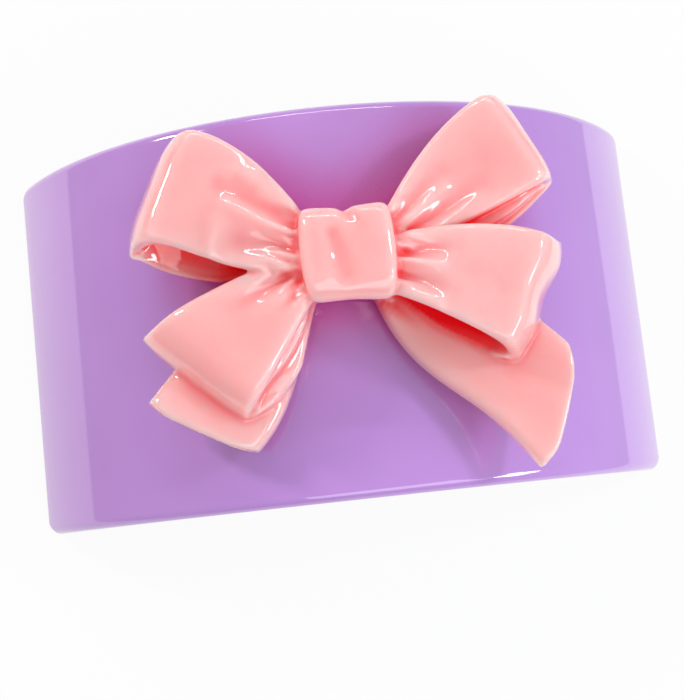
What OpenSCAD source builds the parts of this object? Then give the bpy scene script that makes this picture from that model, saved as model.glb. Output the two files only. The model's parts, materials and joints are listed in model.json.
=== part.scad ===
// Alligator hair clip: an arched plastic plate that carries a cast resin bow in front
// and a sprung steel alligator clip inside its arch. Millimetres, +Z out of the face,
// +Y towards the top of the bow, standing on the two ends of the arch.

/* [Plate] */
// Width across the two ends of the arch
plate_w = 60; // [50:1:80]
// Length along the arch, from the top edge to the bottom edge
plate_len = 34.4; // [30:0.2:45]
// Height of the crown above the surface it stands on
plate_rise = 19.6; // [18:0.2:26]
// Wall thickness
plate_t = 2.4; // [1.8:0.1:3]
// Radius of the rounded top and bottom edges
plate_edge_r = 0.9; // [0.4:0.1:0.9]
// Depth of the flat ground on each end of the arch
foot_flat = 0.2; // [0.1:0.05:0.4]

/* [Bow] */
// Height of the knot's middle above the plate's middle
bow_y = 2.4; // [-4:0.1:6]
// Width of the knot band
knot_w = 7.4; // [6:0.1:10]
// Length of the knot band, along Y
knot_len = 7.6; // [6:0.1:10]
// Height of the knot above the flat back
knot_h = 8.8; // [7.5:0.1:12]
// Reach of the upper left loop from the knot's middle, which the other loops and the tails follow
loop_reach = 17; // [15:0.1:19]
// Width of a loop or tail at its end, before its own share of it
loop_w = 10; // [8:0.1:12]
// Height of the upper left loop, which the other loops follow
loop_h = 6.8; // [5.5:0.1:8]
// Height of a loop where it enters the knot
root_h = 4.6; // [3.5:0.1:6]
// Thickness of the ribbon in the loops
ribbon_t = 1.1; // [0.8:0.1:1.5]
// Thickness of the two tails
tail_t = 2.4; // [1.6:0.1:3]
// Length of the round fold at the end of a loop
fold_len = 2.4; // [1.5:0.1:3.5]
// Depth of the gathers where a loop enters the knot
gather_r = 0.8; // [0.4:0.1:1.2]
// Thickness of the glue at the crown, under the bow
bow_glue_t = 0.4; // [0.2:0.1:0.8]
// Width of the glue under the bow
bow_glue_w = 6.4; // [4:0.2:7]
// Length of the glue under the bow
bow_glue_len = 5; // [4:0.2:7.4]

/* [Steel clip] */
// Thickness of the steel sheet
steel_t = 0.7; // [0.5:0.05:0.9]
// Length of the upper arm
arm_len = 31; // [28:0.5:34]
// Width of the upper arm
arm_w = 9; // [8:0.1:12]
// Width of the jaw, outside its walls
jaw_w = 6.4; // [5.8:0.1:6.8]
// Distance of the hinge from the clip's middle, towards the tail
hinge_y = 4; // [2:0.1:6]
// Depth of the hinge below the upper arm's inner face
hinge_drop = 3.6; // [3.4:0.1:4.4]
// Diameter of the hinge pin
pin_d = 1.6; // [1.2:0.1:1.8]
// Height of a tooth
tooth_h = 0.9; // [0.5:0.1:1.2]
// Length of the toothed stretch at the jaw's nose
teeth_len = 8.4; // [6:0.2:10]
// Number of teeth along each wall of the jaw
tooth_count = 6; // [3:1:8]
// Angle at which the jaw's tail leaves the upper arm
tail_angle = 12; // [8:1:14]
// Thinnest part of the glue between the plate and the upper arm
arm_glue_t = 0.1; // [0.05:0.05:0.3]

/* [Spring] */
// Diameter of the spring wire
wire_d = 0.6; // [0.4:0.05:0.65]
// Mean diameter of the coil
coil_d = 3.1; // [2.8:0.1:3.2]
// Clear gap between neighbouring coils
coil_gap = 0.45; // [0.42:0.01:0.5]
// Length of each straight leg
leg_len = 6.4; // [4:0.1:7]

/* [Hidden] */
$fn = 64;

// Radial play of the jaw on its pin, and of the pin in the upper arm
running_play = 0.05;
seat_play = 0.02;
// Gap that keeps glue and glued faces from sharing a surface
bond_gap = 0.02;
// Gap between the closed teeth and the upper arm
bite_gap = 0.15;
big = 200;

// Arch of the plate, from its width, rise and wall, with ends a little rounder than the wall is thick
foot_over = 0.05;
foot_r = plate_t / 2 + foot_over;
foot_x = plate_w / 2 - foot_r;
foot_z = foot_r - foot_flat;
arch_half = 2 * atan2(plate_rise - plate_t / 2 - foot_z, foot_x);
arch_mid_r = foot_x / sin(arch_half);
arch_out_r = arch_mid_r + plate_t / 2;
arch_in_r = arch_mid_r - plate_t / 2;
arch_z = plate_rise - arch_out_r;

// Levels of the steel clip, hung from the crown
arm_top = arch_z + sqrt(pow(arch_in_r, 2) - pow(arm_w / 2, 2)) - arm_glue_t;
arm_under = arm_top - steel_t;
hinge_z = arm_under - hinge_drop;
arm_corner_r = 2;
// Steel round the pin in the upper arm's ears and in the jaw's, and length of an ear's base
ear_wall = 1.3;
jaw_ear_wall = 1;
ear_r = pin_d / 2 + ear_wall;
ear_base = 9;
// Rim of a pin head past the pin, and thickness of the head
pin_rim = 0.5;
pin_head_d = pin_d + 2 * pin_rim;
pin_head_t = 0.4;

// Side outline of the jaw: a knee under the coil, a rising nose with its web under the teeth, and a
// falling tail, both a little shorter than the upper arm
coil_clear = 0.15;
jaw_inset = 0.6;
tooth_web = 0.4;
throat_run = 1;
bite_z = arm_under - bite_gap;
jaw_knee_z = hinge_z - coil_d / 2 - wire_d / 2 - coil_clear;
jaw_nose_y = -arm_len / 2 + jaw_inset;
jaw_nose_z = bite_z - tooth_h - tooth_web;
jaw_tail_y = arm_len / 2 - jaw_inset;
jaw_tail_z = jaw_knee_z - (jaw_tail_y - hinge_y) * tan(tail_angle);
jaw_ear_r = pin_d / 2 + jaw_ear_wall;
teeth_end_y = jaw_nose_y + teeth_len;
tooth_pitch = teeth_len / tooth_count;

// Spring: angles, seen along +X, at which the two legs leave the coil
leg_top_angle = 105;
leg_low_angle = 270 - tail_angle;
coil_turns = 3 + (leg_low_angle - leg_top_angle) / 360;
coil_len = coil_turns * (wire_d + coil_gap);
coil_steps = 30;
wire_sides = 6;

// Bow: its flat back, and the middle of the loops where they enter the knot
bow_z = plate_rise + bow_glue_t;
root_z = bow_z + knot_h / 2;
knot_round = 1.6;
// Depth to which loops and tails reach into the knot
root_bury = 1.4;
// Share of a loop's length over which it swells from the knot to its full height
swell = 0.6;
// Drop of a ribbon's face towards its two edges
edge_drop = 0.4;

// Loops: angle, reach in loop_reach, end width in loop_w, skew of the end, then for the right and
// the left side, seen from the knot, the half width at the knot and the bulge in loop_w, then bottom
// and height above the flat back in loop_h, side of the deep recess, and in loop_w how far the front
// ribbon's edge stays behind the back ribbon's there
LOOPS = [
    [154.4, 1.00, 0.98, 0, [0.06, 0.26], [0.15, 0.07], 0.09, 1.00, 1, 0.10],
    [29, 1.08, 0.84, 0, [0.25, 0.00], [0.14, 0.08], 0.03, 0.88, -1, 0.14],
    [211, 0.92, 1.04, 14, [0.25, 0.06], [0.12, 0.09], 0.18, 0.79, 1, 0.15],
    [-19.3, 0.99, 1.00, -6, [0.22, 0.21], [0.02, 0.08], 0.29, 0.91, -1, 0.10],
];
// Tails: the same values as far as the bulges, then the rise of the tip in loop_h
TAILS = [
    [223.3, 1.07, 1.00, 15, [0.25, -0.09], [0.05, 0.00], 0.03],
    [-40.5, 1.27, 1.02, 18, [0.00, 0.25], [0.05, 0.09], 0.20],
];
// How far the corners of an end stay behind its middle
end_round = 0.6;
// Gathers across a loop, in half widths, and the shares of its length between which they fade
GATHERS = [-0.55, 0, 0.55];
gather_from = 0.08;
gather_to = 0.55;
// Where across a loop its deep and its shallow recess end, how far a recess runs past the edge, in
// half widths, and the share of the run where it starts
deep_web = 0.2;
shallow_web = 0.6;
recess_past = 1.6;
recess_from = 0.2;
body_rings = 6;
fold_rings = 5;
across = 11;
TAIL_SHARES = [0, 0.2, 0.4, 0.6, 0.8, 0.96, 1];
// Share of a tail's thickness left at its tip, and least half height of a ribbon
tail_tip = 0.6;
thin_edge = 0.05;

function angle(spec) = spec[0];
function run(spec) = spec[1] * loop_reach - knot_w / 2 + root_bury;
function skew(spec) = spec[3];

function lerp(a, b, s) = a + (b - a) * s;
function turned(p, a) = [p[0] * cos(a) - p[1] * sin(a), p[0] * sin(a) + p[1] * cos(a)];

// Closed skin over a stack of rings with equally many points
module skin(rings) {
    n = len(rings[0]);
    last = len(rings) - 1;
    polyhedron(
        points = [for (r = rings) each r],
        faces = concat(
            [for (i = [0:last - 1], j = [0:n - 1]) each let (k = (j + 1) % n)
                [[i * n + j, i * n + k, (i + 1) * n + k], [i * n + j, (i + 1) * n + k, (i + 1) * n + j]]],
            [[for (j = [n - 1:-1:0]) j]],
            [[for (j = [0:n - 1]) last * n + j]]));
}

// Rounded rectangle of size a by b, from the lower left corner
module round_rect(a, b, r) {
    translate([r, 0]) square([a - 2 * r, b]);
    translate([0, r]) square([a, b - 2 * r]);
    for (x = [r, a - r], y = [r, b - r]) translate([x, y]) circle(r);
}

// Solid drawn in side view, Y to the right and Z up, and given a width about X
module side_solid(w) {
    rotate([90, 0, 90]) translate([0, 0, -w / 2]) linear_extrude(w) children();
}

// Cylinder along X about the hinge axis
module on_hinge(d, l) {
    translate([0, hinge_y, hinge_z]) rotate([0, 90, 0]) cylinder(d = d, h = l, center = true);
}

// Cylinder along Y about the axis of the arch
module on_arch(r) {
    translate([0, 0, arch_z]) rotate([90, 0, 0]) cylinder(r = r, h = big, center = true, $fn = 720);
}

module front_plate() {
    color("mediumpurple") intersection() {
        translate([0, 0, arch_z]) rotate([90, 0, 0]) rotate_extrude($fn = 180)
            translate([arch_in_r, -plate_len / 2]) round_rect(plate_t, plate_len, plate_edge_r);
        rotate([90, 0, 0]) translate([0, 0, -big / 2]) linear_extrude(big) arch_reach();
    }
}

// Stretch of the ring that the plate takes, seen along its axis: a sector with a round end on each
// side, above the surface it stands on
module arch_reach() {
    difference() {
        union() {
            polygon([
                [0, arch_z], [big * sin(arch_half), arch_z + big * cos(arch_half)],
                [0, arch_z + 2 * big], [-big * sin(arch_half), arch_z + big * cos(arch_half)]]);
            for (side = [-1, 1]) translate([side * foot_x, foot_z]) circle(foot_r);
        }
        translate([-big, -2 * big]) square(2 * big);
    }
}

module upper_arm() {
    color("silver") difference() {
        union() {
            translate([-arm_w / 2, -arm_len / 2, arm_under])
                linear_extrude(steel_t) round_rect(arm_w, arm_len, arm_corner_r);
            for (side = [-1, 1]) translate([side * (arm_w - steel_t) / 2, 0, 0]) side_solid(steel_t) {
                polygon([
                    [hinge_y - ear_base / 2, arm_top - steel_t / 2], [hinge_y - ear_r, hinge_z],
                    [hinge_y + ear_r, hinge_z], [hinge_y + ear_base / 2, arm_top - steel_t / 2]]);
                translate([hinge_y, hinge_z]) circle(ear_r);
            }
        }
        on_hinge(pin_d + 2 * seat_play, big);
    }
}

module jaw() {
    color("silver") difference() {
        intersection() {
            union() {
                side_solid(jaw_w) polygon([
                    [jaw_tail_y, jaw_tail_z - steel_t], [jaw_tail_y, jaw_tail_z],
                    [hinge_y, jaw_knee_z], [jaw_nose_y, jaw_nose_z],
                    [jaw_nose_y, jaw_nose_z - steel_t], [hinge_y, jaw_knee_z - steel_t]]);
                for (side = [-1, 1])
                    translate([side * (jaw_w - steel_t) / 2, 0, 0]) side_solid(steel_t) jaw_wall();
            }
            translate([-jaw_w / 2, jaw_nose_y, 0])
                linear_extrude(big) round_rect(jaw_w, jaw_tail_y - jaw_nose_y, arm_corner_r);
        }
        on_hinge(pin_d + 2 * running_play, big);
    }
}

// Side wall of the jaw: teeth at the nose, a throat for the hair and an ear round the pin
module jaw_wall() {
    throat_z = lerp(jaw_knee_z, bite_z, 0.5);
    polygon(concat(
        [[jaw_nose_y, jaw_nose_z - steel_t / 2], [jaw_nose_y, bite_z - tooth_h]],
        [for (i = [0:tooth_count - 1]) each [
            [jaw_nose_y + (i + 0.5) * tooth_pitch, bite_z],
            [jaw_nose_y + (i + 1) * tooth_pitch, bite_z - tooth_h]]],
        [[teeth_end_y + throat_run, throat_z], [hinge_y - jaw_ear_r, hinge_z], [hinge_y + jaw_ear_r, hinge_z],
            [hinge_y + jaw_ear_r + throat_run, jaw_knee_z - steel_t / 2],
            [hinge_y, jaw_knee_z - steel_t / 2]]));
    translate([hinge_y, hinge_z]) circle(jaw_ear_r);
}

module hinge_pin() {
    color("gainsboro") {
        on_hinge(pin_d, arm_w + 2 * pin_head_t);
        for (side = [-1, 1])
            translate([side * (arm_w + pin_head_t) / 2, 0, 0]) on_hinge(pin_head_d, pin_head_t);
    }
}

// Wire route: in along the top leg, round the coil, out along the low leg
function coil_point(x, a) = [x, hinge_y + coil_d / 2 * cos(a), hinge_z + coil_d / 2 * sin(a)];
function leg_end(x, a, way) = coil_point(x, a) + way * leg_len * [0, -sin(a), cos(a)];
function wire_route() = concat(
    [leg_end(-coil_len / 2, leg_top_angle, -1), lerp(leg_end(-coil_len / 2, leg_top_angle, -1),
        coil_point(-coil_len / 2, leg_top_angle), 0.5)],
    [for (i = [0:coil_steps]) let (s = i / coil_steps)
        coil_point(lerp(-0.5, 0.5, s) * coil_len, leg_top_angle + s * coil_turns * 360)],
    [lerp(leg_end(coil_len / 2, leg_low_angle, 1), coil_point(coil_len / 2, leg_low_angle), 0.5),
        leg_end(coil_len / 2, leg_low_angle, 1)]);

// Ring of wire square to the route at point i
function unit(v) = v / norm(v);
function wire_ring(p, i) =
    let (
        t = unit(p[min(i + 1, len(p) - 1)] - p[max(i - 1, 0)]),
        n = unit(cross(t, [1, 0, 0])),
        b = cross(t, n))
    [for (k = [0:wire_sides - 1]) let (a = 360 * k / wire_sides)
        p[i] + wire_d / 2 * (cos(a) * n + sin(a) * b)];

module torsion_spring() {
    route = wire_route();
    most_of_turn = 0.6 * coil_steps / coil_turns;
    gaps = [for (i = [0:len(route) - 1], j = [0:len(route) - 1])
        if (j - i > most_of_turn) norm(route[i] - route[j]) - wire_d];
    echo(least_gap_in_spring = min(gaps));
    color("lightgray") skin([for (i = [0:len(route) - 1]) wire_ring(route, i)]);
}

// Glue bed that fills the lens between the crown and a flat face
module arm_glue() {
    color("whitesmoke") intersection() {
        translate([-arm_w / 2 + bond_gap, -arm_len / 2 + arm_corner_r, arm_top + bond_gap])
            cube([arm_w - 2 * bond_gap, arm_len - 2 * arm_corner_r, big]);
        on_arch(arch_in_r - bond_gap);
    }
}

module bow_glue() {
    color("whitesmoke") difference() {
        translate([-bow_glue_w / 2, bow_y - bow_glue_len / 2, plate_rise - plate_t])
            cube([bow_glue_w, bow_glue_len, bow_z - bond_gap - plate_rise + plate_t]);
        on_arch(arch_out_r + bond_gap);
    }
}

// Half width of side k at share s of the run from the knot
function half_width(spec, k, s) =
    loop_w * (lerp(spec[4][k], spec[2] / 2, sin(90 * s)) + spec[5][k] * sin(180 * s));
// Place at share s of the run and v across it, from -1 at the right edge to 1 at the left edge
function bow_xy(spec, s, v) =
    let (
        y = lerp(-half_width(spec, 0, s), half_width(spec, 1, s), (v + 1) / 2),
        behind = y * s * tan(skew(spec)) + end_round * pow(s, 3) * pow(v, 4))
    turned([knot_w / 2 - root_bury + s * run(spec) - behind, y], angle(spec));
// Share of a loop's full height at distance u from its end
function fold(u) = u >= fold_len ? 1 : sqrt(max(0, 1 - pow(1 - u / fold_len, 2)));
// Middle and half height of a loop at share s
function swollen(s) = sin(90 * min(1, s / swell));
function loop_mid(spec, s) = lerp(root_z, bow_z + loop_h * (spec[6] + spec[7] / 2), swollen(s));
function loop_half(spec, s) = lerp(root_h, loop_h * spec[7], swollen(s)) * fold((1 - s) * run(spec)) / 2;
// Share of the front ribbon's half width that is left on the side of the deep recess
function front_share(spec, s) =
    1 - 2 * loop_w * spec[9] * sin(180 * s) / (half_width(spec, 0, s) + half_width(spec, 1, s));
// Shares at which a loop has rings, closer together in the fold
function ring_shares(spec) = let (flat = 1 - fold_len / run(spec)) concat(
    [for (i = [0:body_rings]) flat * i / body_rings],
    [for (i = [1:fold_rings]) lerp(flat, 1, sin(90 * i / fold_rings))]);

// Ring at share s, across the top between sides a1 and b1 and back across the bottom between a and b
function band_ring(spec, s, mid, half, drop, a, b, a1, b1) =
    [for (top = [1, -1], i = [0:across - 1]) let (
            v = top > 0 ? lerp(a1, b1, i / (across - 1)) : lerp(b, a, i / (across - 1)),
            p = bow_xy(spec, s, v))
        [p[0], bow_y + p[1], mid + top * max(thin_edge, half - drop * pow(v, 6))]];

module loop(spec) {
    deep = spec[8];
    difference() {
        skin([for (s = ring_shares(spec)) let (half = loop_half(spec, s), share = front_share(spec, s))
            band_ring(spec, s, loop_mid(spec, s), half, min(edge_drop, half / 2),
                -1, 1, deep < 0 ? -share : -1, deep > 0 ? share : 1)]);
        recess(spec, -deep * deep_web, deep * recess_past);
        recess(spec, -deep * shallow_web, -deep * recess_past);
    }
    for (v = GATHERS) gather(spec, v);
}

// Hollow between a loop's front and back ribbon, from a web across it to past its edge
module recess(spec, web, past) {
    last = 1 - ribbon_t / run(spec);
    a = min(web, past);
    b = max(web, past);
    skin([for (i = [0:body_rings]) let (s = lerp(recess_from, last, i / body_rings))
        band_ring(spec, s, loop_mid(spec, s), loop_half(spec, s) - ribbon_t, 0, a, b, a, b)]);
}

// Ridge of a gather, running out of the knot along the top of a loop
module gather(spec, v) {
    hull() for (end = [[gather_from, gather_r, gather_r / 2], [gather_to, gather_r / 3, 0]]) {
        p = bow_xy(spec, end[0], v);
        top = loop_mid(spec, end[0]) + loop_half(spec, end[0]);
        translate([p[0], bow_y + p[1], top - end[1] + end[2]]) sphere(end[1], $fn = 14);
    }
}

module tail(spec) {
    skin([for (s = TAIL_SHARES) let (half = tail_t / 2 * (s == 1 ? tail_tip : 1))
        band_ring(spec, s, bow_z + tail_t / 2 + loop_h * spec[6] * s * s, half, half / 2, -1, 1, -1, 1)]);
}

module knot() {
    hull() for (x = [-1, 1], y = [-1, 1]) {
        translate([x * (knot_w / 2 - knot_round), bow_y + y * (knot_len / 2 - knot_round),
            bow_z + knot_h - knot_round]) sphere(knot_round, $fn = 20);
        translate([x * (knot_w / 2 - knot_round), bow_y + y * (knot_len / 2 - knot_round), bow_z])
            cylinder(r = knot_round, h = 1, $fn = 20);
    }
}

module resin_bow() {
    color("lightpink") union() {
        knot();
        for (l = LOOPS) loop(l);
        for (t = TAILS) tail(t);
    }
}

front_plate();
resin_bow();
bow_glue();
arm_glue();
upper_arm();
jaw();
hinge_pin();
torsion_spring();
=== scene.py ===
"""Looks of an alligator hair clip: a glossy arched plate, a cast resin bow and a sprung steel clip."""

import json
import math

import bmesh
import bpy
import numpy as np
from mathutils import Matrix, Vector
from mathutils.kdtree import KDTree


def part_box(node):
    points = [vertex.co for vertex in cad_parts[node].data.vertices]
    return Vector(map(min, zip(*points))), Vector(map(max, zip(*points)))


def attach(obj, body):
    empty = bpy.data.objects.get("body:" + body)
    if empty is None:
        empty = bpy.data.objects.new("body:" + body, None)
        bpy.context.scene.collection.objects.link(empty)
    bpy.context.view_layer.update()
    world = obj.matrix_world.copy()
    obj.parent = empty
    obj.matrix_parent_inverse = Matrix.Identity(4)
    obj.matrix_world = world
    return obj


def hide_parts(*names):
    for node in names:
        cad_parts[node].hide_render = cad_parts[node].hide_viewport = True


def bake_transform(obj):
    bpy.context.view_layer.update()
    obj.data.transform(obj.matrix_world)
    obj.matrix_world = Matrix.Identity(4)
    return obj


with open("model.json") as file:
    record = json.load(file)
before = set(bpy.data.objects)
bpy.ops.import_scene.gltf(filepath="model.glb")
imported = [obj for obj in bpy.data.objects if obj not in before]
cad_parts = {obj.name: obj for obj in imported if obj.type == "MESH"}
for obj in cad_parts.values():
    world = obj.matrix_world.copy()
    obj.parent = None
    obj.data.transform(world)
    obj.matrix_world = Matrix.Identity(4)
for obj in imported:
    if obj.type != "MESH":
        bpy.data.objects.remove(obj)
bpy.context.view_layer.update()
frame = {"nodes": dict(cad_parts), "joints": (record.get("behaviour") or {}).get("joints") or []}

MM = 0.001

# Places in the frame, in mm: the plate's corners, the level of the bow's flat back and the hinge's axis
PLATE_LOW, PLATE_HIGH = (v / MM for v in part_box("front_plate"))
BOW_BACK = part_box("resin_bow")[0].z / MM
HINGE = Vector(frame["joints"][0]["pos_m"]) / MM

# Photograph's frame and the camera that was fitted to the plate's outline, in mm
IMAGE_W, IMAGE_H = 684, 700
FOCAL_PX = 1325.7
CAMERA_PLACE = (-6.44, -18.50, 131.2)
CAMERA_BACK = (-0.0490, -0.1245, 0.9910)
CAMERA_ROLL = 0.109
SENSOR_MM = 36.0

# Floor, in mm: its half width and the white sheet's edges, which show in the plate's gloss, then the share of
# its white that isn't lit, the light from all round and the place that the lamps face
FLOOR_HALF = 1500
SHEET_X = (-70, 47)
SHEET_WHITE = 0.93
WORLD_LIGHT = 0.46
LAMP_AIM = (0, 0, 20)

# Plate, in mm, then its sections along the arch and the steps round its corners and edges
PLATE_T = 2.4
PLATE_EDGE_R = 0.9
PLATE_CORNER_R = 2.2
PLATE_FOOT_FLAT = 0.2
PLATE_SECTIONS = 181
PLATE_CORNER_STEPS = 16
PLATE_EDGE_STEPS = 8
# Least square of a radius, so that a round end never closes to a point
LEAST_SQUARE = 0.0001
# Painted shade and painted pink bounce light from the bow on the plate: how far it reaches, in mm, and its
# share at a lower and an upper level of y
BOW_SHADE_REACH = 9
BOW_SHADE_Y = (-9, 6)
BOW_SHADE_SHARE = (0.1, 1.4)
# Least z of the normal on the outer side, which gets that painted shade
OUTSIDE_Z = 0.5

# Knot, in mm: place, size, how much narrower its upper and lower ends are, slope of the sides, reach of the
# round edges along each axis, and the power that squares its outline
KNOT_Y = 2.4
KNOT_W, KNOT_LEN, KNOT_H = 8.4, 7.4, 8.8
KNOT_WAIST = (0.1, 0.16)
KNOT_DRAFT = 0.35
KNOT_EDGE = (0.7, 0.9, 0.9)
KNOT_POWER = 11
# Its lower end: undercut, how much longer and how slanting it is, and depth and half width of its dip
KNOT_UNDERCUT = 1.7
KNOT_LONGER = 0.9
KNOT_SLANT = 0.05
KNOT_DIP = (0.2, 2.2)
# Its upper end: reach, slope and start of the flaps left and right, and depth and half width of the notch
KNOT_FLAP = 0.26
KNOT_FLAP_LEFT = (0.09, -0.8)
KNOT_FLAP_RIGHT = (0.07, 0.7)
KNOT_NOTCH = (0.4, 0.45)
# How far the top falls at the lower and the upper end, and its folds, written like the loops' creases
KNOT_FALL = (1.5, 0.6)
KNOT_FOLDS = [(-0.1, 4.2, 1.0, 2.0, 0.45, 0.8, 0.75, 0.1), (1.0, 3.2, 2.5, 3.4, 0.4, 0.4, -0.15, -0.15),
              (-1.1, 1.2, -0.3, -1.8, 0.7, 1.1, 0.25, 0.3), (-1.9, 2.8, -1.7, -2.0, 0.8, 0.8, -0.12, -0.12)]
# Points round the knot, and rings up its sides, round its edge and over its top
KNOT_POINTS = 240
KNOT_SIDE_RINGS, KNOT_EDGE_RINGS, KNOT_TOP_RINGS = 12, 10, 16

# Ribbon, in mm: height of the loops at the knot, distance of the bands' roots from its middle, thickness, how
# far a loop's front and back draw in at its sides, and the share of its run over which it swells
ROOT_H = 5.8
ROOT_AT = 2.3
RIBBON_T = 1.1
CROWN = 0.3
SWELL = 0.6
# Fused casting: size of its cells, in mm, and how it is softened
BOW_VOXEL = 0.15
SOFTEN_SHARE, SOFTEN_PASSES = 0.5, 8
# Relief for painted shade in creases and painted highlight on ridges: smoothing passes under which it
# vanishes, and the height that counts as full
RELIEF = {"fine_relief": (60, 0.25), "broad_relief": (500, 0.7)}
# Painted shade that reddens the recesses, in mm: how far before the front ribbon's edge it starts, over what
# way it gets full, and blur and number of the section points that give each place its painted shade
HOLLOW_REACH, HOLLOW_FULL = 1.2, 1.6
HOLLOW_BLUR, HOLLOW_NEAR = 0.05, 6
# Painted shade that reddens a tail under a loop, and the share of the loop's run over which it fades at the
# end
COVERED_SHADE, COVERED_FADE = 0.9, 0.25
# How far the painted shade that reddens the resin's inner corners reaches, in mm
CORNER_SHADE_REACH = 7

# Loops. Pairs hold a value for the right and the left side, seen from the knot, unless said otherwise.
# angle, skew: direction of the band, and slant of its end, in degrees
# reach: distance of the end's foot
# end, root, bulge, flare: half width at the end and at the knot, swelling of the sides, flare of the end
# corner, wavy: how far the end's corners stay behind, and height of the end's wave
# low, high: bottom above the flat back, and height
# deep, web: side of the open recess, 1 for left and -1 for right, and how far across the web stands there
# open, then the painted shade: how open the recess is, and how strongly painted shade reddens it
# back: thickness of the back ribbon at its edge and at the web
# lift: how far the front ribbon's edge stays behind, and a power that sets where
# wall, curve: length of the end wall, and two powers of its curve
# creases: from (along, across) to (along, across), then width and depth at both ends, below zero for a ridge
LOOPS = {
    "upper_left": dict(
        angle=154.4, reach=18.0, skew=0, end=(5.2, 5.6), root=(0.6, 2.6), bulge=(0.9, 0.4), flare=(0, 0),
        corner=0.8, wavy=0, low=0.6, high=6.8, deep=1, web=0.2, open=1, recess_shade=0.9, back=(1.0, 3.4),
        lift=(1.3, 2.2), wall=2.6, curve=(1.9, 1.2),
        creases=[(4.0, -0.9, 11.4, -1.7, 0.7, 0.9, 0.8, 0.25), (8.9, -2.3, 10.4, -2.6, 0.5, 0.5, 0.15, 0.15),
                 (9.4, -3.3, 10.6, -3.4, 0.9, 0.9, -0.3, -0.2), (5.0, 0.2, 10.2, -0.5, 0.4, 0.7, -0.3, -0.3),
                 (4.0, 0.9, 8.2, 2.1, 0.5, 1.1, 0.6, 0.5), (10.2, 4.6, 10.5, 1.2, 0.45, 0.8, -0.35, -0.2)]),
    "upper_right": dict(
        angle=29, reach=19.7, skew=-2, end=(4.2, 4.6), root=(2.5, 0.0), bulge=(1.4, 0.7), flare=(0, 0),
        corner=0.55, wavy=0, low=0.2, high=6.0, deep=-1, web=1.0, open=1, recess_shade=0.3, back=(1.4, 2.4),
        lift=(1.5, 1), wall=2.7, curve=(1.8, 1.0),
        creases=[(4.0, -0.2, 10.0, 1.5, 0.5, 1.1, 0.9, 0.2), (5.0, -0.6, 9.8, 0.1, 0.4, 0.6, -0.1, -0.1),
                 (4.0, -1.4, 12.4, -1.3, 0.5, 1.1, 1.0, 0.2), (7.0, -2.4, 11.5, -2.1, 0.4, 0.5, -0.12, -0.08),
                 (11.5, 0.5, 13.5, 0.4, 2.0, 2.0, 0.3, 0.3)]),
    "lower_left": dict(
        angle=211, reach=16.3, skew=15, end=(5.0, 5.6), root=(2.5, 0.6), bulge=(-0.1, 0.9), flare=(0, 0),
        corner=0.3, wavy=0, low=1.2, high=5.4, deep=1, web=0.7, open=0.8, recess_shade=0.1, back=(1.0, 2.2),
        lift=(1.7, 1), wall=5.6, curve=(2.6, 2.0),
        creases=[(4.0, -1.2, 9.8, -1.9, 0.5, 0.9, 1.0, 0.1), (5.5, -2.6, 9.0, -2.8, 0.5, 0.6, -0.2, -0.1),
                 (4.0, -0.6, 6.6, 0.5, 0.3, 0.5, 0.8, 0.1)]),
    "lower_right": dict(
        angle=-19.3, reach=17.0, skew=-7, end=(4.9, 5.2), root=(2.2, 2.1), bulge=(0.2, 0.45), flare=(0, 1.0),
        corner=0.2, wavy=0.22, low=1.4, high=6.8, deep=-1, web=0.0, open=1, recess_shade=0.9, back=(0.5, 1.0),
        lift=(1.0, 1), wall=2.6, curve=(1.8, 1.0),
        creases=[(4.0, 0.9, 8.2, 2.5, 0.5, 0.9, 1.0, 0.2), (4.4, 0.3, 7.6, 0.6, 0.35, 0.5, -0.3, -0.2),
                 (4.0, -0.6, 8.7, -1.1, 0.5, 0.9, 0.9, 0.15), (4.4, -1.7, 8.0, -2.4, 0.4, 0.5, -0.2, -0.2),
                 (10.5, 1.2, 12.5, 0.9, 2.2, 2.2, 0.3, 0.3)]),
}
# Share of a loop's height at which the end wall's foot stands, length over which its bottom rises to that
# foot, and share of the run from which the end flares
FOOT_AT, FOOT_RUN, FLARE_FROM = 0.1, 1.2, 0.8
# Where across the end its wave stands, and the length of that wave
WAVE_AT, WAVE_LEN = 0.62, 1.1
# How far from the end a recess closes and over what length, then the same at the knot, in shares of the run
RECESS_END, RECESS_ROUND = 1.5, 3.6
RECESS_FROM, RECESS_OPENS = 0.04, 0.14
# Place of the web on the side without a recess, and least share of the width from a web to the edge
CLOSED_WEB, LEAST_WEB = 0.65, 0.01
# Share of the width that the back ribbon has at the knot, and share of the run at which it has it all
BACK_ROOT, BACK_FULL = 0.65, 0.45
# Ripples beside the knot: height, distance between them, and how far they run out
RIPPLE_H, RIPPLE_PITCH, RIPPLE_RUN = 0.18, 0.95, 1.6
# Points of a loop's section: on the front, the back, each face in a recess and a ribbon's edge
FRONT_POINTS, BACK_POINTS, RECESS_POINTS, TIP_POINTS = 45, 25, 9, 7
# Steps of sections along a loop and down its end wall
LOOP_STEPS, WALL_STEPS = 60, 14

# Tails: the loops' values from angle to wavy, then the wave of the two sides and the rise of the tip
TAILS = {
    "left_tail": dict(
        angle=223.3, reach=18.6, skew=16.5, end=(5.0, 5.0), root=(2.5, -0.9), bulge=(0.5, 0.1), flare=(0, 0),
        corner=0.6, wavy=0, wave=(0.0, 0.0), rise=0.2),
    "right_tail": dict(
        angle=-40.5, reach=22.2, skew=21, end=(5.1, 5.2), root=(0.2, 2.5), bulge=(0.1, 0.9), flare=(0, 0),
        corner=1.2, wavy=0, wave=(0.8, 0.0), rise=1.4),
}
# Thickness of a tail, slope of its sides, reach of its round tip, and powers that square its section
TAIL_T = 2.4
TAIL_DRAFT = 0.45
TAIL_EDGE = 0.5
TAIL_POWERS = (0.3, 0.55)
# Points of a tail's section, and sections along it and round its tip
TAIL_POINTS = 64
TAIL_SECTIONS, TAIL_TIP_SECTIONS = 40, 8

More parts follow.
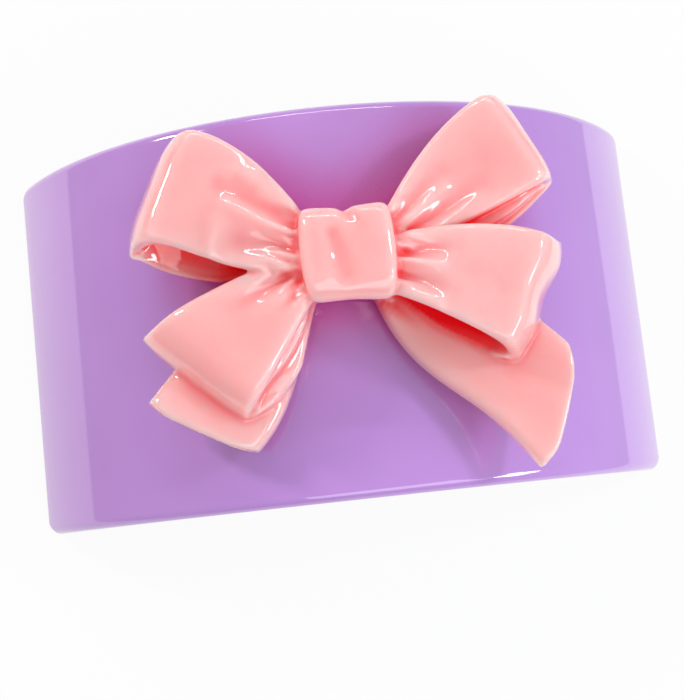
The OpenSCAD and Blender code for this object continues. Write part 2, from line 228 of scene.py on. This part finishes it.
# Spring, in mm and degrees, then steps along a leg and the coil, and sides of the wire
WIRE_D = 0.6
COIL_D = 3.1
COIL_GAP = 0.45
COIL_TURNS = 3
LEG_LEN = 6.4
LEG_TOP_ANGLE = 105
LEG_LOW_ANGLE = 258
LEG_STEPS, COIL_STEPS, WIRE_SIDES = 8, 160, 16

# Refraction of the plastic and the resin, and rays that test how hidden a place is
GLOSS_IOR = 1.55
HIDDEN_SAMPLES = 8


# Mesh helpers

def new_object(name, points, faces):
    """Mesh object from points in mm."""
    mesh = bpy.data.meshes.new(name)
    mesh.from_pydata([tuple(MM * c for c in p) for p in points], [], faces)
    mesh.validate()
    obj = bpy.data.objects.new(name, mesh)
    bpy.context.scene.collection.objects.link(obj)
    return obj


def skin(rings):
    """Points and faces of a closed skin over a stack of rings with equally many points."""
    n = len(rings[0])
    points = [p for ring in rings for p in ring]
    faces = []
    for i in range(len(rings) - 1):
        for j in range(n):
            k = (j + 1) % n
            faces.append((i * n + j, i * n + k, (i + 1) * n + k, (i + 1) * n + j))
    faces.append(tuple(range(n - 1, -1, -1)))
    faces.append(tuple((len(rings) - 1) * n + j for j in range(n)))
    return points, faces


def outward(obj):
    """Turn all faces of a closed mesh outwards."""
    mesh = bmesh.new()
    mesh.from_mesh(obj.data)
    bmesh.ops.recalc_face_normals(mesh, faces=mesh.faces)
    mesh.to_mesh(obj.data)
    mesh.free()


def shade_smooth(obj):
    obj.data.polygons.foreach_set("use_smooth", [True] * len(obj.data.polygons))


def apply_modifiers(obj):
    """Replace the mesh by what its modifiers make of it."""
    graph = bpy.context.evaluated_depsgraph_get()
    made = bpy.data.meshes.new_from_object(obj.evaluated_get(graph))
    obj.modifiers.clear()
    obj.data = made


def soften(obj, passes):
    """Add a smoothing of so many passes to a mesh's modifiers, and apply them all."""
    smooth = obj.modifiers.new("soften", "SMOOTH")
    smooth.factor = SOFTEN_SHARE
    smooth.iterations = passes
    apply_modifiers(obj)


def mark(obj, name, values):
    """Store a value for each point of a mesh."""
    attribute = obj.data.attributes.new(name, "FLOAT", "POINT")
    attribute.data.foreach_set("value", values)


def lerp(a, b, s):
    return a + (b - a) * s


def clamp(value):
    return min(1, max(0, value))


# Bow

def turned(u, v, angle):
    """Place turned about the origin by an angle in degrees."""
    a = math.radians(angle)
    return u * math.cos(a) - v * math.sin(a), u * math.sin(a) + v * math.cos(a)


def run(spec):
    """Length of a band from the knot to its end."""
    return spec["reach"] - ROOT_AT


def half_width(spec, side, s):
    """Half width of one side of a band at share s of its run."""
    wave = spec.get("wave", (0, 0))[side] * math.sin(math.tau * s)
    swell = spec["bulge"][side] * math.sin(math.pi * s)
    flare = spec["flare"][side] * max(0, (s - FLARE_FROM) / (1 - FLARE_FROM)) ** 2
    return lerp(spec["root"][side], spec["end"][side], math.sin(math.pi / 2 * s)) + swell + wave + flare


def on_band(spec, s, v, inset=0.0):
    """Place along and across a band at share s of its run and v across it, from -1 to 1."""
    right, left = -half_width(spec, 0, s) + inset, half_width(spec, 1, s) - inset
    across = lerp(right, left, (v + 1) / 2)
    corner = spec["corner"] * v ** 4 - spec["wavy"] * math.cos(math.tau * (v - WAVE_AT) / WAVE_LEN)
    behind = across * s * math.tan(math.radians(spec["skew"])) + corner * s ** 3
    return ROOT_AT + s * run(spec) - behind, across


def bow_point(spec, s, v, z, inset=0.0):
    """Point of a band in the frame, in mm, at a height z above the bow's flat back."""
    x, y = turned(*on_band(spec, s, v, inset), spec["angle"])
    return x, KNOT_Y + y, BOW_BACK + z


def swollen(s):
    """How far a loop has swollen at share s of its run."""
    return math.sin(math.pi / 2 * min(1, s / SWELL))


def fold_depth(folds, x, y):
    """Depth at a place of folds that each run from (x, y) to (x, y)."""
    depth = 0
    for x0, y0, x1, y1, width0, width1, depth0, depth1 in folds:
        length = (x1 - x0) ** 2 + (y1 - y0) ** 2
        share = clamp(((x - x0) * (x1 - x0) + (y - y0) * (y1 - y0)) / length)
        distance = math.hypot(x - lerp(x0, x1, share), y - lerp(y0, y1, share))
        depth += lerp(depth0, depth1, share) * math.exp(-(distance / lerp(width0, width1, share)) ** 2)
    return depth


def crease_depth(spec, u, across):
    """Depth of a loop's creases, and of the ripples beside the knot, at a place on its front."""
    fade = math.exp(-(max(0, u - KNOT_W / 2) / RIPPLE_RUN) ** 2)
    ripple = RIPPLE_H * fade * math.cos(math.tau * across / RIPPLE_PITCH + spec["angle"])
    return fold_depth(spec["creases"], u, across) + ripple


def loop_levels(spec, s):
    """Bottom and top of a loop at share s: from the knot up to full height, then down the end wall."""
    low, high = spec["low"], spec["high"]
    bottom = lerp((KNOT_H - ROOT_H) / 2, low, swollen(s))
    top = lerp((KNOT_H + ROOT_H) / 2, low + high, swollen(s))
    distance = (1 - s) * run(spec)
    foot = low + FOOT_AT * high
    p, q = spec["curve"]
    wall = (1 - max(0, 1 - distance / spec["wall"]) ** p) ** (1 / q)
    under = max(0, 1 - distance / FOOT_RUN) ** 2
    return lerp(bottom, foot, under), lerp(foot, top, wall)


def loop_ring(spec, s):
    """Section of a loop, front and back ribbon joined by a web, as points and the painted shade that their
    depth in a recess gives them.
    """
    bottom, top = loop_levels(spec, s)
    mid = (bottom + top) / 2
    width = half_width(spec, 0, s) + half_width(spec, 1, s)
    near_end = clamp(((1 - s) * run(spec) - RECESS_END) / RECESS_ROUND)
    near_knot = clamp((s - RECESS_FROM) / RECESS_OPENS)
    opening = spec["open"] * near_knot * near_end * (2 - near_end)
    lift, power = spec["lift"]
    share = 1 - 2 * lift * math.sin(math.pi * s ** power) / width
    edge = RIBBON_T / width
    deep = spec["deep"]
    right = -share if deep < 0 else -1
    left = share if deep > 0 else 1
    web = {deep: spec["web"], -deep: CLOSED_WEB}
    back_share = lerp(BACK_ROOT, 1, min(1, s / BACK_FULL))

    def front(v):
        return max(mid, top - CROWN * v ** 4 - crease_depth(spec, *on_band(spec, s, v)))

    def back(v):
        return min(mid, bottom + CROWN * v ** 4)

    def inner_front(v):
        return lerp(mid, max(mid, front(v) - RIBBON_T), opening)

    def tip(at, side, upper, lower, first, last):
        """Round edge of a ribbon from its upper to its lower face, over part of a half turn."""
        inner = at - side * edge
        high, low = upper(inner), lower(inner)
        rows = []
        for a in np.linspace(first, last, TIP_POINTS):
            down = (math.cos(first) - math.cos(a)) / (math.cos(first) - math.cos(last))
            rows.append((inner + side * edge * math.sin(a), lerp(high, low, down), 0))
        return rows

    def recess(side, front_tip):
        """Down the side at a recess, from the front ribbon's edge to the back ribbon's."""
        def inner_back(v):
            inwards = clamp((1 - side * v) / max(LEAST_WEB, 1 - web[side]))
            return lerp(mid, min(mid, back(v) + lerp(*spec["back"], inwards)), opening)

        # Painted shade, strongest deep inside the recess
        def hollow_shade(v):
            inside = side * (front_tip - v) * width / 2 + (HOLLOW_REACH if side == deep else 0)
            return spec["recess_shade"] * opening * clamp(inside / HOLLOW_FULL)

        back_tip = side * back_share
        inside = lerp((front_tip + back_tip) / 2, side * min(web[side], back_share - edge), opening)
        upper = tip(front_tip, side, front, inner_front, 0, lerp(math.pi / 2, math.pi, opening))
        lower = tip(back_tip, side, inner_back, back, lerp(math.pi / 2, 0, opening), math.pi)
        rows = [(v, inner_front(v), hollow_shade(v)) for v in np.linspace(upper[-1][0], inside, RECESS_POINTS)]
        rows += [(v, inner_back(v), hollow_shade(v)) for v in np.linspace(inside, lower[0][0], RECESS_POINTS)]
        return upper + rows + lower

    rows = [(v, front(v), 0) for v in np.linspace(right + edge, left - edge, FRONT_POINTS)]
    rows += recess(1, left)
    rows += [(v, back(v), 0) for v in np.linspace(back_share - edge, edge - back_share, BACK_POINTS)]
    rows += reversed(recess(-1, right))
    return [(bow_point(spec, s, v, z), hollow_shade) for v, z, hollow_shade in rows]


def loop_shares(spec):
    """Shares of a loop's run at which it has sections, closer together in the end wall."""
    flat = 1 - spec["wall"] / run(spec)
    body = [flat * i / LOOP_STEPS for i in range(LOOP_STEPS + 1)]
    turn = [math.pi / 2 * i / WALL_STEPS for i in range(1, WALL_STEPS + 1)]
    return body + [lerp(flat, 1, math.sin(a)) for a in turn]


def tail_ring(spec, s):
    """Section of a tail: a band with sloping sides and round edges."""
    end = max(0, 1 - (1 - s) * run(spec) / TAIL_EDGE)
    half = TAIL_T / 2 - TAIL_EDGE * (1 - math.sqrt(1 - end ** 2))
    mid = TAIL_T / 2 + spec["rise"] * s * s
    ring = []
    for i in range(TAIL_POINTS):
        a = math.tau * i / TAIL_POINTS
        v = math.copysign(abs(math.cos(a)) ** TAIL_POWERS[0], math.cos(a))
        z = math.copysign(abs(math.sin(a)) ** TAIL_POWERS[1], math.sin(a))
        ring.append(bow_point(spec, s, v, mid + half * z, TAIL_DRAFT * (1 + z) / 2))
    return ring


def covered_shade(spec, x, y):
    """Painted shade under the front ribbon of a loop: how far a place lies under it, from 0 beside it to its
    full share well under it.
    """
    u, across = turned(x, y - KNOT_Y, -spec["angle"])
    s = (u - ROOT_AT) / run(spec)
    if not 0 <= s <= 1:
        return 0
    side = spec["deep"]
    lift, power = spec["lift"]
    edge = half_width(spec, max(0, side), s) - lift * math.sin(math.pi * s ** power)
    near_end = min(1, (1 - s) / COVERED_FADE)
    return COVERED_SHADE * near_end * clamp((edge - side * across + HOLLOW_REACH) / HOLLOW_FULL)


def tail_shares(spec):
    """Shares of a tail's run at which it has sections, closer together in its round tip."""
    tip = 1 - TAIL_EDGE / run(spec)
    return list(np.linspace(0, tip, TAIL_SECTIONS)) + list(np.linspace(tip, 1, TAIL_TIP_SECTIONS))[1:]


def bell(x, height, width):
    """Smooth bump over zero with a height and a half width."""
    return height * math.exp(-(x / width) ** 2)


def knot_ring(level, inset, rise):
    """Outline of the knot at a level: a barrel with a notch in its upper end and a rolled lower end."""
    half_w = KNOT_W / 2 - inset[0]
    half_len = KNOT_LEN / 2 - inset[1]
    left_slope, left_from = KNOT_FLAP_LEFT
    right_slope, right_from = KNOT_FLAP_RIGHT
    ring = []
    for i in range(KNOT_POINTS):
        a = math.tau * i / KNOT_POINTS
        reach = (abs(math.cos(a)) ** KNOT_POWER + abs(math.sin(a)) ** KNOT_POWER) ** (-1 / KNOT_POWER)
        x, y = reach * math.cos(a) * half_w, reach * math.sin(a) * half_len
        upper, lower = max(0, y / KNOT_LEN * 2), max(0, -y / KNOT_LEN * 2)
        x *= 1 - KNOT_WAIST[0] * upper ** 2 - KNOT_WAIST[1] * lower ** 2
        undercut = KNOT_UNDERCUT * (1 - level / KNOT_H)
        y += lower * (undercut - KNOT_LONGER - KNOT_SLANT * x + bell(x, *KNOT_DIP))
        flap = KNOT_FLAP - left_slope * min(0, x - left_from) + right_slope * max(0, x - right_from)
        y += upper * (flap - bell(x, *KNOT_NOTCH))
        fall = (KNOT_FALL[0] * lower ** 3 + KNOT_FALL[1] * upper ** 4) * (level / KNOT_H) ** 2
        ring.append((x, KNOT_Y + y, BOW_BACK + level - rise * fold_depth(KNOT_FOLDS, x, y) - fall))
    return ring


def knot_rings():
    """Rings up the sloping sides, round the edges and in to the middle of the crowned top."""
    edge_x, edge_y, edge_z = KNOT_EDGE
    rings = []
    for level in np.linspace(0, KNOT_H - edge_z, KNOT_SIDE_RINGS):
        slope = KNOT_DRAFT * level / KNOT_H
        rings.append(knot_ring(level, (slope, slope), 0))
    for a in np.linspace(0, math.pi / 2, KNOT_EDGE_RINGS)[1:]:
        inset = (KNOT_DRAFT + edge_x * (1 - math.cos(a)), KNOT_DRAFT + edge_y * (1 - math.cos(a)))
        rings.append(knot_ring(KNOT_H - edge_z * (1 - math.sin(a)), inset, math.sin(a)))
    for share in np.linspace(0, 1, KNOT_TOP_RINGS)[1:]:
        inset = (lerp(KNOT_DRAFT + edge_x, KNOT_W / 2, share), lerp(KNOT_DRAFT + edge_y, KNOT_LEN / 2, share))
        rings.append(knot_ring(KNOT_H, inset, 1))
    return rings


def make_bow():
    """One casting: all bands and the knot fused, with soft inner corners."""
    pieces = [[[(point, 0) for point in ring] for ring in knot_rings()]]
    pieces += [[loop_ring(spec, s) for s in loop_shares(spec)] for spec in LOOPS.values()]
    for spec in TAILS.values():
        rings = [tail_ring(spec, s) for s in tail_shares(spec)]
        # Tails get painted shade where the lower right loop stands over them
        pieces.append([[(p, covered_shade(LOOPS["lower_right"], p[0], p[1])) for p in ring] for ring in rings])
    points, faces = [], []
    for rings in pieces:
        piece_points, piece_faces = skin([[point for point, _ in ring] for ring in rings])
        faces += [tuple(i + len(points) for i in face) for face in piece_faces]
        points += piece_points
    bow = new_object("cast_bow", points, faces)
    outward(bow)
    fuse = bow.modifiers.new("fuse", "REMESH")
    fuse.mode = "VOXEL"
    fuse.voxel_size = BOW_VOXEL * MM
    soften(bow, SOFTEN_PASSES)
    shade_smooth(bow)
    for name, (passes, full) in RELIEF.items():
        mark_relief(bow, name, passes, full)
    mark_hollow_shade(bow, [sample for rings in pieces for ring in rings for sample in ring])
    return bow


def mark_hollow_shade(obj, samples):
    """Store the painted shade of each point, from how deep in a recess the points of the sections near it
    lie.
    """
    tree = KDTree(len(samples))
    for i, (point, _) in enumerate(samples):
        tree.insert(MM * Vector(point), i)
    tree.balance()
    values = []
    for vertex in obj.data.vertices:
        found = tree.find_n(vertex.co, HOLLOW_NEAR)
        near = [(samples[i][1], 1 / (distance + HOLLOW_BLUR * MM)) for _, i, distance in found]
        values.append(sum(hollow_shade * weight for hollow_shade, weight in near) / sum(weight for _, weight in near))
    mark(obj, "hollow_shade", values)


def mark_relief(obj, name, passes, full):
    """Store how far each point stands out of, or lies in, a smoother copy of the surface, from -1 to 1."""
    smooth = obj.copy()
    smooth.data = obj.data.copy()
    bpy.context.scene.collection.objects.link(smooth)
    soften(smooth, passes)
    count = len(obj.data.vertices)
    place, normal, base = (np.empty(3 * count, np.float32) for _ in range(3))
    obj.data.vertices.foreach_get("co", place)
    obj.data.vertices.foreach_get("normal", normal)
    smooth.data.vertices.foreach_get("co", base)
    bpy.data.objects.remove(smooth)
    height = ((place - base) * normal).reshape(-1, 3).sum(1) / MM / full
    mark(obj, name, np.clip(height, -1, 1))


# Plate

def make_plate():
    """Arched plate with round ends, soft edges and rounded corners, in the CAD plate's own place."""
    width, length, rise = (PLATE_HIGH[i] - PLATE_LOW[i] for i in range(3))
    end_r = PLATE_T / 2
    end_x, end_z = width / 2 - end_r, end_r - PLATE_FOOT_FLAT
    half_angle = 2 * math.atan2(rise - PLATE_T / 2 - end_z, end_x)
    mid_r = end_x / math.sin(half_angle)
    axis_z = rise - PLATE_T / 2 - mid_r
    arc = 2 * mid_r * half_angle
    turn = [math.pi / 2 * i / PLATE_CORNER_STEPS for i in range(PLATE_CORNER_STEPS + 1)]
    near_end = [PLATE_CORNER_R * (1 - math.cos(a)) for a in turn]
    total = arc + 2 * end_r
    stations = near_end + list(np.linspace(PLATE_CORNER_R, total - PLATE_CORNER_R, PLATE_SECTIONS)[1:-1])
    stations += [total - d for d in reversed(near_end)]
    rings = []
    for place in stations:
        d = min(place, total - place)
        half_t = PLATE_T / 2 if d >= end_r else half_chord(end_r, d)
        round_in = 0 if d >= PLATE_CORNER_R else PLATE_CORNER_R - half_chord(PLATE_CORNER_R, d)
        half_len = length / 2 - round_in
        angle = (place - total / 2) / mid_r
        ring = []
        for along, across in plate_section(half_len, half_t):
            r = mid_r + across
            ring.append((r * math.sin(angle), along, max(0, axis_z + r * math.cos(angle))))
        rings.append(ring)
    plate = new_object("arched_plate", *skin(rings))
    outward(plate)
    shade_smooth(plate)
    return plate


def half_chord(radius, depth):
    """Half width of a circle at a depth below its rim."""
    return math.sqrt(max(LEAST_SQUARE, radius ** 2 - (radius - depth) ** 2))


def plate_section(half_len, half_t):
    """Rounded rectangle, as offsets along the arch's axis and across the wall."""
    r = min(PLATE_EDGE_R, half_t)
    points = []
    for corner, (sx, sy) in enumerate(((1, 1), (-1, 1), (-1, -1), (1, -1))):
        for i in range(PLATE_EDGE_STEPS + 1):
            a = math.pi / 2 * (corner + i / PLATE_EDGE_STEPS)
            points.append((sx * (half_len - r) + r * math.cos(a), sy * (half_t - r) + r * math.sin(a)))
    return points


# Spring

def make_spring():
    """Wire that comes in along the upper leg, winds round the pin and leaves along the lower leg."""
    turns = COIL_TURNS + (LEG_LOW_ANGLE - LEG_TOP_ANGLE) / 360
    length = turns * (WIRE_D + COIL_GAP)

    def on_coil(x, angle):
        a = math.radians(angle)
        return Vector((x, HINGE.y + COIL_D / 2 * math.cos(a), HINGE.z + COIL_D / 2 * math.sin(a)))

    def leg(x, angle, way):
        a = math.radians(angle)
        end = on_coil(x, angle) + way * LEG_LEN * Vector((0, -math.sin(a), math.cos(a)))
        return [end.lerp(on_coil(x, angle), i / LEG_STEPS) for i in range(LEG_STEPS)]

    path = leg(-length / 2, LEG_TOP_ANGLE, -1)
    for i in range(COIL_STEPS + 1):
        share = i / COIL_STEPS
        path.append(on_coil(lerp(-0.5, 0.5, share) * length, LEG_TOP_ANGLE + share * turns * 360))
    path += list(reversed(leg(length / 2, LEG_LOW_ANGLE, 1)))
    turn = [math.tau * k / WIRE_SIDES for k in range(WIRE_SIDES)]
    rings = []
    for i, p in enumerate(path):
        along = (path[min(i + 1, len(path) - 1)] - path[max(i - 1, 0)]).normalized()
        n = along.cross(Vector((1, 0, 0))).normalized()
        b = along.cross(n)
        rings.append([tuple(p + WIRE_D / 2 * (math.cos(a) * n + math.sin(a) * b)) for a in turn])
    spring = new_object("spring_coil", *skin(rings))
    outward(spring)
    shade_smooth(spring)
    return spring, length


# Materials

def set_inputs(node, **inputs):
    """Set a node's inputs to constants, where an underscore stands for a space in a name."""
    for key, value in inputs.items():
        node.inputs[key.replace("_", " ")].default_value = value


def material(name):
    """New node material with its Principled shader, and a function that adds a node."""
    mat = bpy.data.materials.new(name)
    mat.use_nodes = True
    tree = mat.node_tree
    shader = tree.nodes["Principled BSDF"]

    def add(kind, **inputs):
        node = tree.nodes.new(kind)
        set_inputs(node, **inputs)
        return node

    return mat, tree, shader, add


def srgb(r, g, b):
    """Linear colour from 8-bit sRGB."""
    def linear(c):
        c /= 255
        return c / 12.92 if c <= 0.04045 else ((c + 0.055) / 1.055) ** 2.4
    return linear(r), linear(g), linear(b), 1.0


def noise_colour(tree, add, shader, low, high, scale):
    """Slow colour change over the surface between two colours."""
    place = add("ShaderNodeTexCoord")
    noise = add("ShaderNodeTexNoise", Scale=scale, Detail=3.0)
    ramp = add("ShaderNodeValToRGB")
    ramp.color_ramp.elements[0].position = 0.3
    ramp.color_ramp.elements[0].color = low
    ramp.color_ramp.elements[1].position = 0.7
    ramp.color_ramp.elements[1].color = high
    tree.links.new(place.outputs["Object"], noise.inputs["Vector"])
    tree.links.new(noise.outputs["Fac"], ramp.inputs["Fac"])
    tree.links.new(ramp.outputs["Color"], shader.inputs["Base Color"])
    return place


def noise_bump(tree, add, shader, place, scale, strength, distance):
    """Faint unevenness of the surface."""
    noise = add("ShaderNodeTexNoise", Scale=scale, Detail=2.0)
    bump = add("ShaderNodeBump", Strength=strength, Distance=distance)
    tree.links.new(place.outputs["Object"], noise.inputs["Vector"])
    tree.links.new(noise.outputs["Fac"], bump.inputs["Height"])
    tree.links.new(bump.outputs["Normal"], shader.inputs["Normal"])


def maths(tree, add, operation, first, second):
    """Math node over two sockets or numbers."""
    node = add("ShaderNodeMath")
    node.operation = operation
    for socket, value in zip(node.inputs, (first, second)):
        if isinstance(value, (int, float)):
            socket.default_value = value
        else:
            tree.links.new(value, socket)
    return node.outputs["Value"]


def axis_value(tree, add, socket, axis):
    """One coordinate of a vector."""
    split = add("ShaderNodeSeparateXYZ")
    tree.links.new(socket, split.inputs["Vector"])
    return split.outputs[axis]


def open_share(add, reach):
    """How open the surface is to its surroundings within a reach in mm, from 0 to 1."""
    node = add("ShaderNodeAmbientOcclusion", Distance=reach * MM)
    node.samples = HIDDEN_SAMPLES
    return node.outputs["AO"]


def paint_shading(tree, add, shader, masks):
    """Paint light and shade into the base colour: mix in colours, each where a value goes from a first number
    to a second.
    """
    colour = shader.inputs["Base Color"].links[0].from_socket
    for socket, start, full, goal in masks:
        share = add("ShaderNodeMapRange", From_Min=start, From_Max=full)
        mix = add("ShaderNodeMix")
        mix.data_type = "RGBA"
        mix.inputs["B"].default_value = goal
        tree.links.new(socket, share.inputs["Value"])
        tree.links.new(share.outputs["Result"], mix.inputs["Factor"])
        tree.links.new(colour, mix.inputs["A"])
        colour = mix.outputs["Result"]
    tree.links.new(colour, shader.inputs["Base Color"])


def lilac_plastic():
    """Glossy plastic, with painted shade and painted pink bounce light where the bow stands close over it."""
    mat, tree, shader, add = material("lilac_plastic")
    place = noise_colour(tree, add, shader, srgb(180, 130, 207), srgb(188, 140, 216), 40.0)
    noise_bump(tree, add, shader, place, 220.0, 0.03, 0.0003)
    # Painted shade with painted pink bounce light: magenta on the outer side near the bow, stronger towards
    # +y
    shade = maths(tree, add, "SUBTRACT", 1, open_share(add, BOW_SHADE_REACH))
    normal = add("ShaderNodeNewGeometry").outputs["Normal"]
    outside = maths(tree, add, "GREATER_THAN", axis_value(tree, add, normal, "Z"), OUTSIDE_Z)
    height = add("ShaderNodeMapRange", From_Min=BOW_SHADE_Y[0] * MM, From_Max=BOW_SHADE_Y[1] * MM,
                 To_Min=BOW_SHADE_SHARE[0], To_Max=BOW_SHADE_SHARE[1])
    tree.links.new(axis_value(tree, add, place.outputs["Object"], "Y"), height.inputs["Value"])
    bow_shade = maths(tree, add, "MULTIPLY", maths(tree, add, "MULTIPLY", shade, outside),
                      height.outputs["Result"])
    paint_shading(tree, add, shader, ((bow_shade, 0.15, 0.75, srgb(186, 52, 158)),))
    set_inputs(shader, Roughness=0.08, IOR=GLOSS_IOR)
    set_inputs(shader, Coat_Weight=1.0, Coat_Roughness=0.04, Coat_IOR=GLOSS_IOR)
    return mat


def pink_resin():
    """Cast resin that light goes into, with painted shade that reddens creases, hollows and inner corners,
    and painted highlight on ridges.
    """
    mat, tree, shader, add = material("pink_resin")
    place = noise_colour(tree, add, shader, srgb(255, 167, 167), srgb(255, 181, 181), 90.0)
    noise_bump(tree, add, shader, place, 500.0, 0.06, 0.0003)
    relief = {}
    for name in (*RELIEF, "hollow_shade"):
        node = add("ShaderNodeAttribute")
        node.attribute_name = name
        relief[name] = node.outputs["Fac"]
    # Painted highlight paler on ridges and bulges, painted shade redder in creases, recesses and inner
    # corners
    paint_shading(tree, add, shader, ((relief["broad_relief"], 0.0, 1.0, srgb(255, 188, 187)),
                             (relief["broad_relief"], 0.0, -1.0, srgb(255, 138, 142)),
                             (relief["fine_relief"], 0.0, 1.0, srgb(255, 204, 203)),
                             (relief["fine_relief"], 0.0, -1.0, srgb(255, 98, 104)),
                             (relief["hollow_shade"], 0.0, 0.85, srgb(255, 30, 42)),
                             (open_share(add, CORNER_SHADE_REACH), 0.6, 0.15, srgb(255, 24, 38))))
    set_inputs(shader, Roughness=0.05, IOR=GLOSS_IOR)
    set_inputs(shader, Coat_Weight=0.5, Coat_Roughness=0.03, Coat_IOR=GLOSS_IOR)
    set_inputs(shader, Subsurface_Weight=0.9, Subsurface_Radius=(1.0, 0.18, 0.16), Subsurface_Scale=0.004)
    return mat


def nickel_steel():
    """Plated stamped steel, slightly uneven."""
    mat, tree, shader, add = material("nickel_steel")
    place = noise_colour(tree, add, shader, srgb(198, 197, 194), srgb(222, 221, 218), 300.0)
    noise_bump(tree, add, shader, place, 2500.0, 0.1, 0.0001)
    set_inputs(shader, Metallic=1.0, Roughness=0.24)
    return mat


def spring_wire():
    """Drawn steel wire, darker than the plated strip."""
    mat, tree, shader, add = material("spring_wire")
    place = noise_colour(tree, add, shader, srgb(170, 170, 172), srgb(205, 205, 206), 700.0)
    noise_bump(tree, add, shader, place, 4000.0, 0.15, 0.00005)
    set_inputs(shader, Metallic=1.0, Roughness=0.3)
    return mat


def set_glue():
    """Milky glue that has set."""
    mat, tree, shader, add = material("set_glue")
    place = noise_colour(tree, add, shader, srgb(226, 222, 214), srgb(240, 238, 232), 400.0)
    noise_bump(tree, add, shader, place, 900.0, 0.3, 0.0003)
    set_inputs(shader, Roughness=0.3, Subsurface_Weight=0.4, Subsurface_Scale=0.001)
    return mat


def paint(obj, mat):
    obj.data.materials.clear()
    obj.data.materials.append(mat)


# Camera and stage

def make_camera():
    """Camera at the photograph's place and angle, with its field of view."""
    back = Vector(CAMERA_BACK).normalized()
    right = Vector((0, 1, 0)).cross(back).normalized()
    up = back.cross(right)
    c, s = math.cos(CAMERA_ROLL), math.sin(CAMERA_ROLL)
    right, up = c * right - s * up, s * right + c * up
    data = bpy.data.cameras.new("camera")
    data.sensor_width = SENSOR_MM
    data.lens = FOCAL_PX * SENSOR_MM / max(IMAGE_W, IMAGE_H)
    data.clip_start = MM
    camera = bpy.data.objects.new("camera", data)
    place = Matrix((right, up, back)).transposed().to_4x4()
    place.translation = MM * Vector(CAMERA_PLACE)
    camera.matrix_world = place
    bpy.context.scene.collection.objects.link(camera)
    bpy.context.scene.camera = camera


def area_lamp(name, towards, distance, size, power, colour=(1, 1, 1)):
    """Lamp in a direction from its aim, at a distance in mm, facing that aim."""
    data = bpy.data.lights.new(name, "AREA")
    data.shape = "RECTANGLE"
    data.size, data.size_y = MM * size[0], MM * size[1]
    data.energy = power
    data.color = colour
    lamp = bpy.data.objects.new(name, data)
    lamp.location = MM * (Vector(LAMP_AIM) + distance * Vector(towards).normalized())
    lamp.rotation_euler = (-Vector(towards)).to_track_quat("-Z", "Y").to_euler()
    bpy.context.scene.collection.objects.link(lamp)


def seen_rays(tree, add, kinds):
    """One where a ray is of one of these kinds, and zero elsewhere."""
    ray = add("ShaderNodeLightPath")
    seen = ray.outputs[kinds[0]]
    for kind in kinds[1:]:
        seen = maths(tree, add, "MAXIMUM", seen, ray.outputs[kind])
    return seen


def make_stage():
    """Floor that the clip stands on, white to the camera but for a faint shadow, and the light all round."""
    w = FLOOR_HALF
    floor = new_object("floor", [(-w, -w, 0), (w, -w, 0), (w, w, 0), (-w, w, 0)], [(0, 1, 2, 3)])
    mat, tree, shader, add = material("white_floor")
    set_inputs(shader, Base_Color=(0.7, 0.7, 0.7, 1), Roughness=0.9)
    x = axis_value(tree, add, add("ShaderNodeTexCoord").outputs["Object"], "X")
    on_sheet = maths(tree, add, "MULTIPLY", maths(tree, add, "GREATER_THAN", x, MM * SHEET_X[0]),
                     maths(tree, add, "LESS_THAN", x, MM * SHEET_X[1]))
    white = maths(tree, add, "MAXIMUM", on_sheet, seen_rays(tree, add, ("Is Camera Ray",)))
    glow = add("ShaderNodeEmission")
    tree.links.new(maths(tree, add, "MAXIMUM", white, WORLD_LIGHT), glow.inputs["Strength"])
    mix = add("ShaderNodeMixShader")
    seen = seen_rays(tree, add, ("Is Camera Ray", "Is Glossy Ray", "Is Transmission Ray"))
    tree.links.new(maths(tree, add, "MULTIPLY", seen, SHEET_WHITE), mix.inputs["Fac"])
    tree.links.new(shader.outputs["BSDF"], mix.inputs[1])
    tree.links.new(glow.outputs["Emission"], mix.inputs[2])
    tree.links.new(mix.outputs["Shader"], tree.nodes["Material Output"].inputs["Surface"])
    paint(floor, mat)
    world = bpy.data.worlds.new("studio")
    bpy.context.scene.world = world
    world.use_nodes = True
    sky = world.node_tree
    background = sky.nodes["Background"]
    set_inputs(background, Color=(1, 1, 1, 1))
    seen = seen_rays(sky, sky.nodes.new, ("Is Camera Ray",))
    sky.links.new(maths(sky, sky.nodes.new, "MAXIMUM", seen, WORLD_LIGHT), background.inputs["Strength"])


def make_lamps():
    """Key lamp from the right, a lamp on each side, a strip above and a soft lamp from below right."""
    area_lamp("key_lamp", (0.69, 0.19, 0.70), 400, (50, 50), 0.38, (0.86, 0.97, 1.0))
    area_lamp("right_strip", (0.84, -0.36, 0.50), 300, (120, 60), 0.26, (0.84, 0.96, 1.0))
    area_lamp("left_lamp", (-0.70, 0.54, 0.49), 300, (32, 90), 0.38, (1.0, 0.94, 0.9))
    area_lamp("top_strip", (0.02, 0.74, 0.64), 400, (300, 14), 0.29)
    area_lamp("soft_lamp", (0.20, -0.64, 0.74), 400, (400, 200), 0.51)


bpy.context.scene.view_settings.view_transform = "Standard"
make_camera()
make_stage()
make_lamps()

plate = make_plate()
paint(plate, lilac_plastic())
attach(plate, "clip_body")
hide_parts("front_plate")

bow = make_bow()
paint(bow, pink_resin())
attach(bow, "clip_body")
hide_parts("resin_bow")

spring, coil_len = make_spring()
paint(spring, spring_wire())
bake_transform(spring)
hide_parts("torsion_spring")

steel = nickel_steel()
for name in ("upper_arm", "jaw", "hinge_pin"):
    paint(frame["nodes"][name], steel)
glue = set_glue()
for name in ("bow_glue", "arm_glue"):
    paint(frame["nodes"][name], glue)
